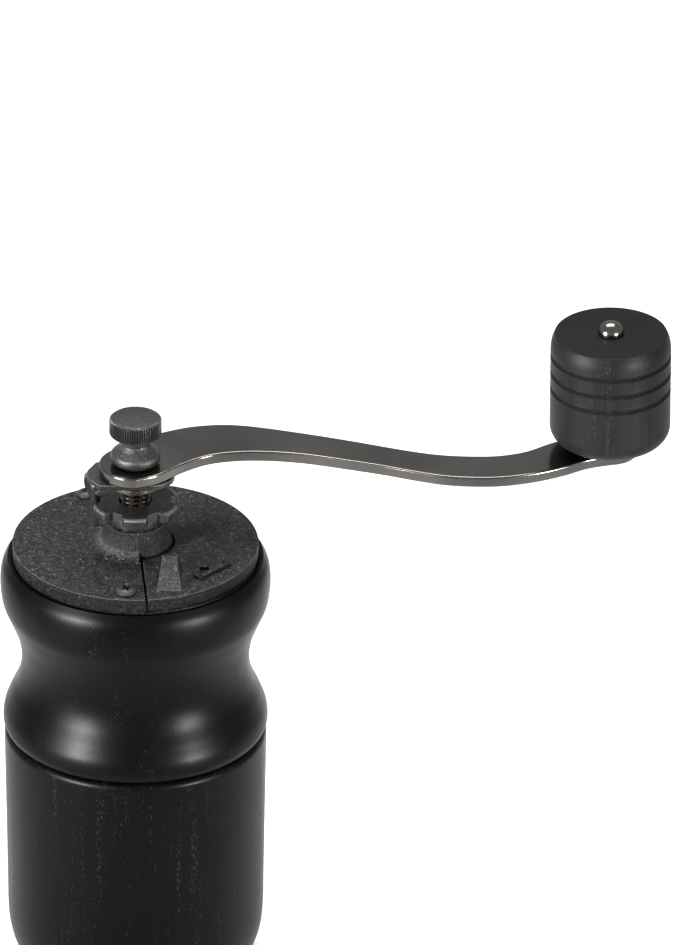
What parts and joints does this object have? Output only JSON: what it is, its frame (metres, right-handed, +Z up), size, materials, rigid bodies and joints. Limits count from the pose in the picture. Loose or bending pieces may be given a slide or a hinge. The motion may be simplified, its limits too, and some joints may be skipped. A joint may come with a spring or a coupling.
{
  "type": "hand crank coffee grinder",
  "caption": "Waisted black wooden hand coffee mill: cast lid with swing opening, conical burrs on a crank-turned spindle, and a pull-off cup for the grounds.",
  "frame": {"origin": "centre of the cup's underside, on the spindle axis", "axes": "+Z up along the spindle, +X along the crank arm towards its knob, -Y towards the front with the lid's thumb tab"},
  "size_m": [0.1786, 0.0722, 0.1902],
  "materials": {
    "wood": "black stained, open pored, satin lacquer",
    "casting": "black wrinkle coat on a rough casting",
    "black_steel": "black oxide, satin",
    "washer_steel": "dull warm grey steel",
    "thread_steel": "bare steel with dark warm oxide in the threads",
    "burr_steel": "hardened steel, satin",
    "bronze": "sintered bronze, dull",
    "nickel": "polished black nickel"
  },
  "bodies": {
    "cup": {"cup": "wood"},
    "mill": {"body": "wood", "hopper": "casting", "fixed_cover": "casting", "cover_screw_rear": "black_steel", "cover_screw_front": "black_steel", "spindle_bush": "bronze", "lid_pivot_screw": "thread_steel", "lid_pivot_washer": "black_steel", "outer_burr": "burr_steel", "lower_bridge": "black_steel", "bridge_screw_left": "black_steel", "bridge_screw_right": "black_steel"},
    "lid": {"lid": "casting"},
    "rotor": {"spring_upper_seat": "black_steel", "spring": "black_steel"},
    "spindle": {"spindle": "thread_steel", "inner_burr": "burr_steel", "burr_nut": "black_steel", "spring_lower_seat": "black_steel"},
    "thrust_ring": {"thrust_ring": "black_steel"},
    "adjusting_nut": {"adjusting_nut": "black_steel"},
    "washer": {"washer": "washer_steel"},
    "lock_plate": {"lock_plate": "black_steel"},
    "crank": {"crank_arm": "nickel", "knob_pin": "nickel", "knob_washer": "black_steel"},
    "knob": {"knob": "wood"},
    "thumb_nut": {"thumb_nut": "black_steel"}
  },
  "joints": [
    {"name": "mill_lift", "type": "slide", "parent": "cup", "child": "mill", "axis": [0, 0, -1], "range_m": [-0.06, 0]},
    {"name": "lid_swing", "type": "hinge", "parent": "mill", "child": "lid", "pos_m": [-0.004, 0.025, 0.129], "axis": [0, 0, -1], "range_deg": [-75, 0]},
    {"name": "crank_turn", "type": "hinge", "parent": "mill", "child": "rotor", "pos_m": [0, 0, 0.118], "axis": [0, 0, 1], "continuous": true},
    {"name": "grind_adjust", "type": "slide", "parent": "rotor", "child": "spindle", "axis": [0, 0, 1], "range_m": [-0.001, 0], "deforming": ["spring"]},
    {"name": "thrust_ring_lift", "type": "slide", "parent": "rotor", "child": "thrust_ring", "axis": [0, 0, 1], "range_m": [0, 0.02965]},
    {"name": "adjusting_nut_lift", "type": "slide", "parent": "thrust_ring", "child": "adjusting_nut", "axis": [0, 0, 1], "range_m": [0, 0.01375]},
    {"name": "washer_lift", "type": "slide", "parent": "adjusting_nut", "child": "washer", "axis": [0, 0, 1], "range_m": [0, 0.01095]},
    {"name": "lock_plate_lift", "type": "slide", "parent": "washer", "child": "lock_plate", "axis": [0, 0, 1], "range_m": [0, 0.02145]},
    {"name": "crank_lift", "type": "slide", "parent": "lock_plate", "child": "crank", "axis": [0, 0, 1], "range_m": [0, 0.0151]},
    {"name": "knob_spin", "type": "hinge", "parent": "crank", "child": "knob", "pos_m": [0.1263, 0.0126, 0.17], "axis": [0, 0, 1], "continuous": true},
    {"name": "thumb_nut_lift", "type": "slide", "parent": "crank", "child": "thumb_nut", "axis": [0, 0, 1], "range_m": [0, 0.0158]}
  ]
}
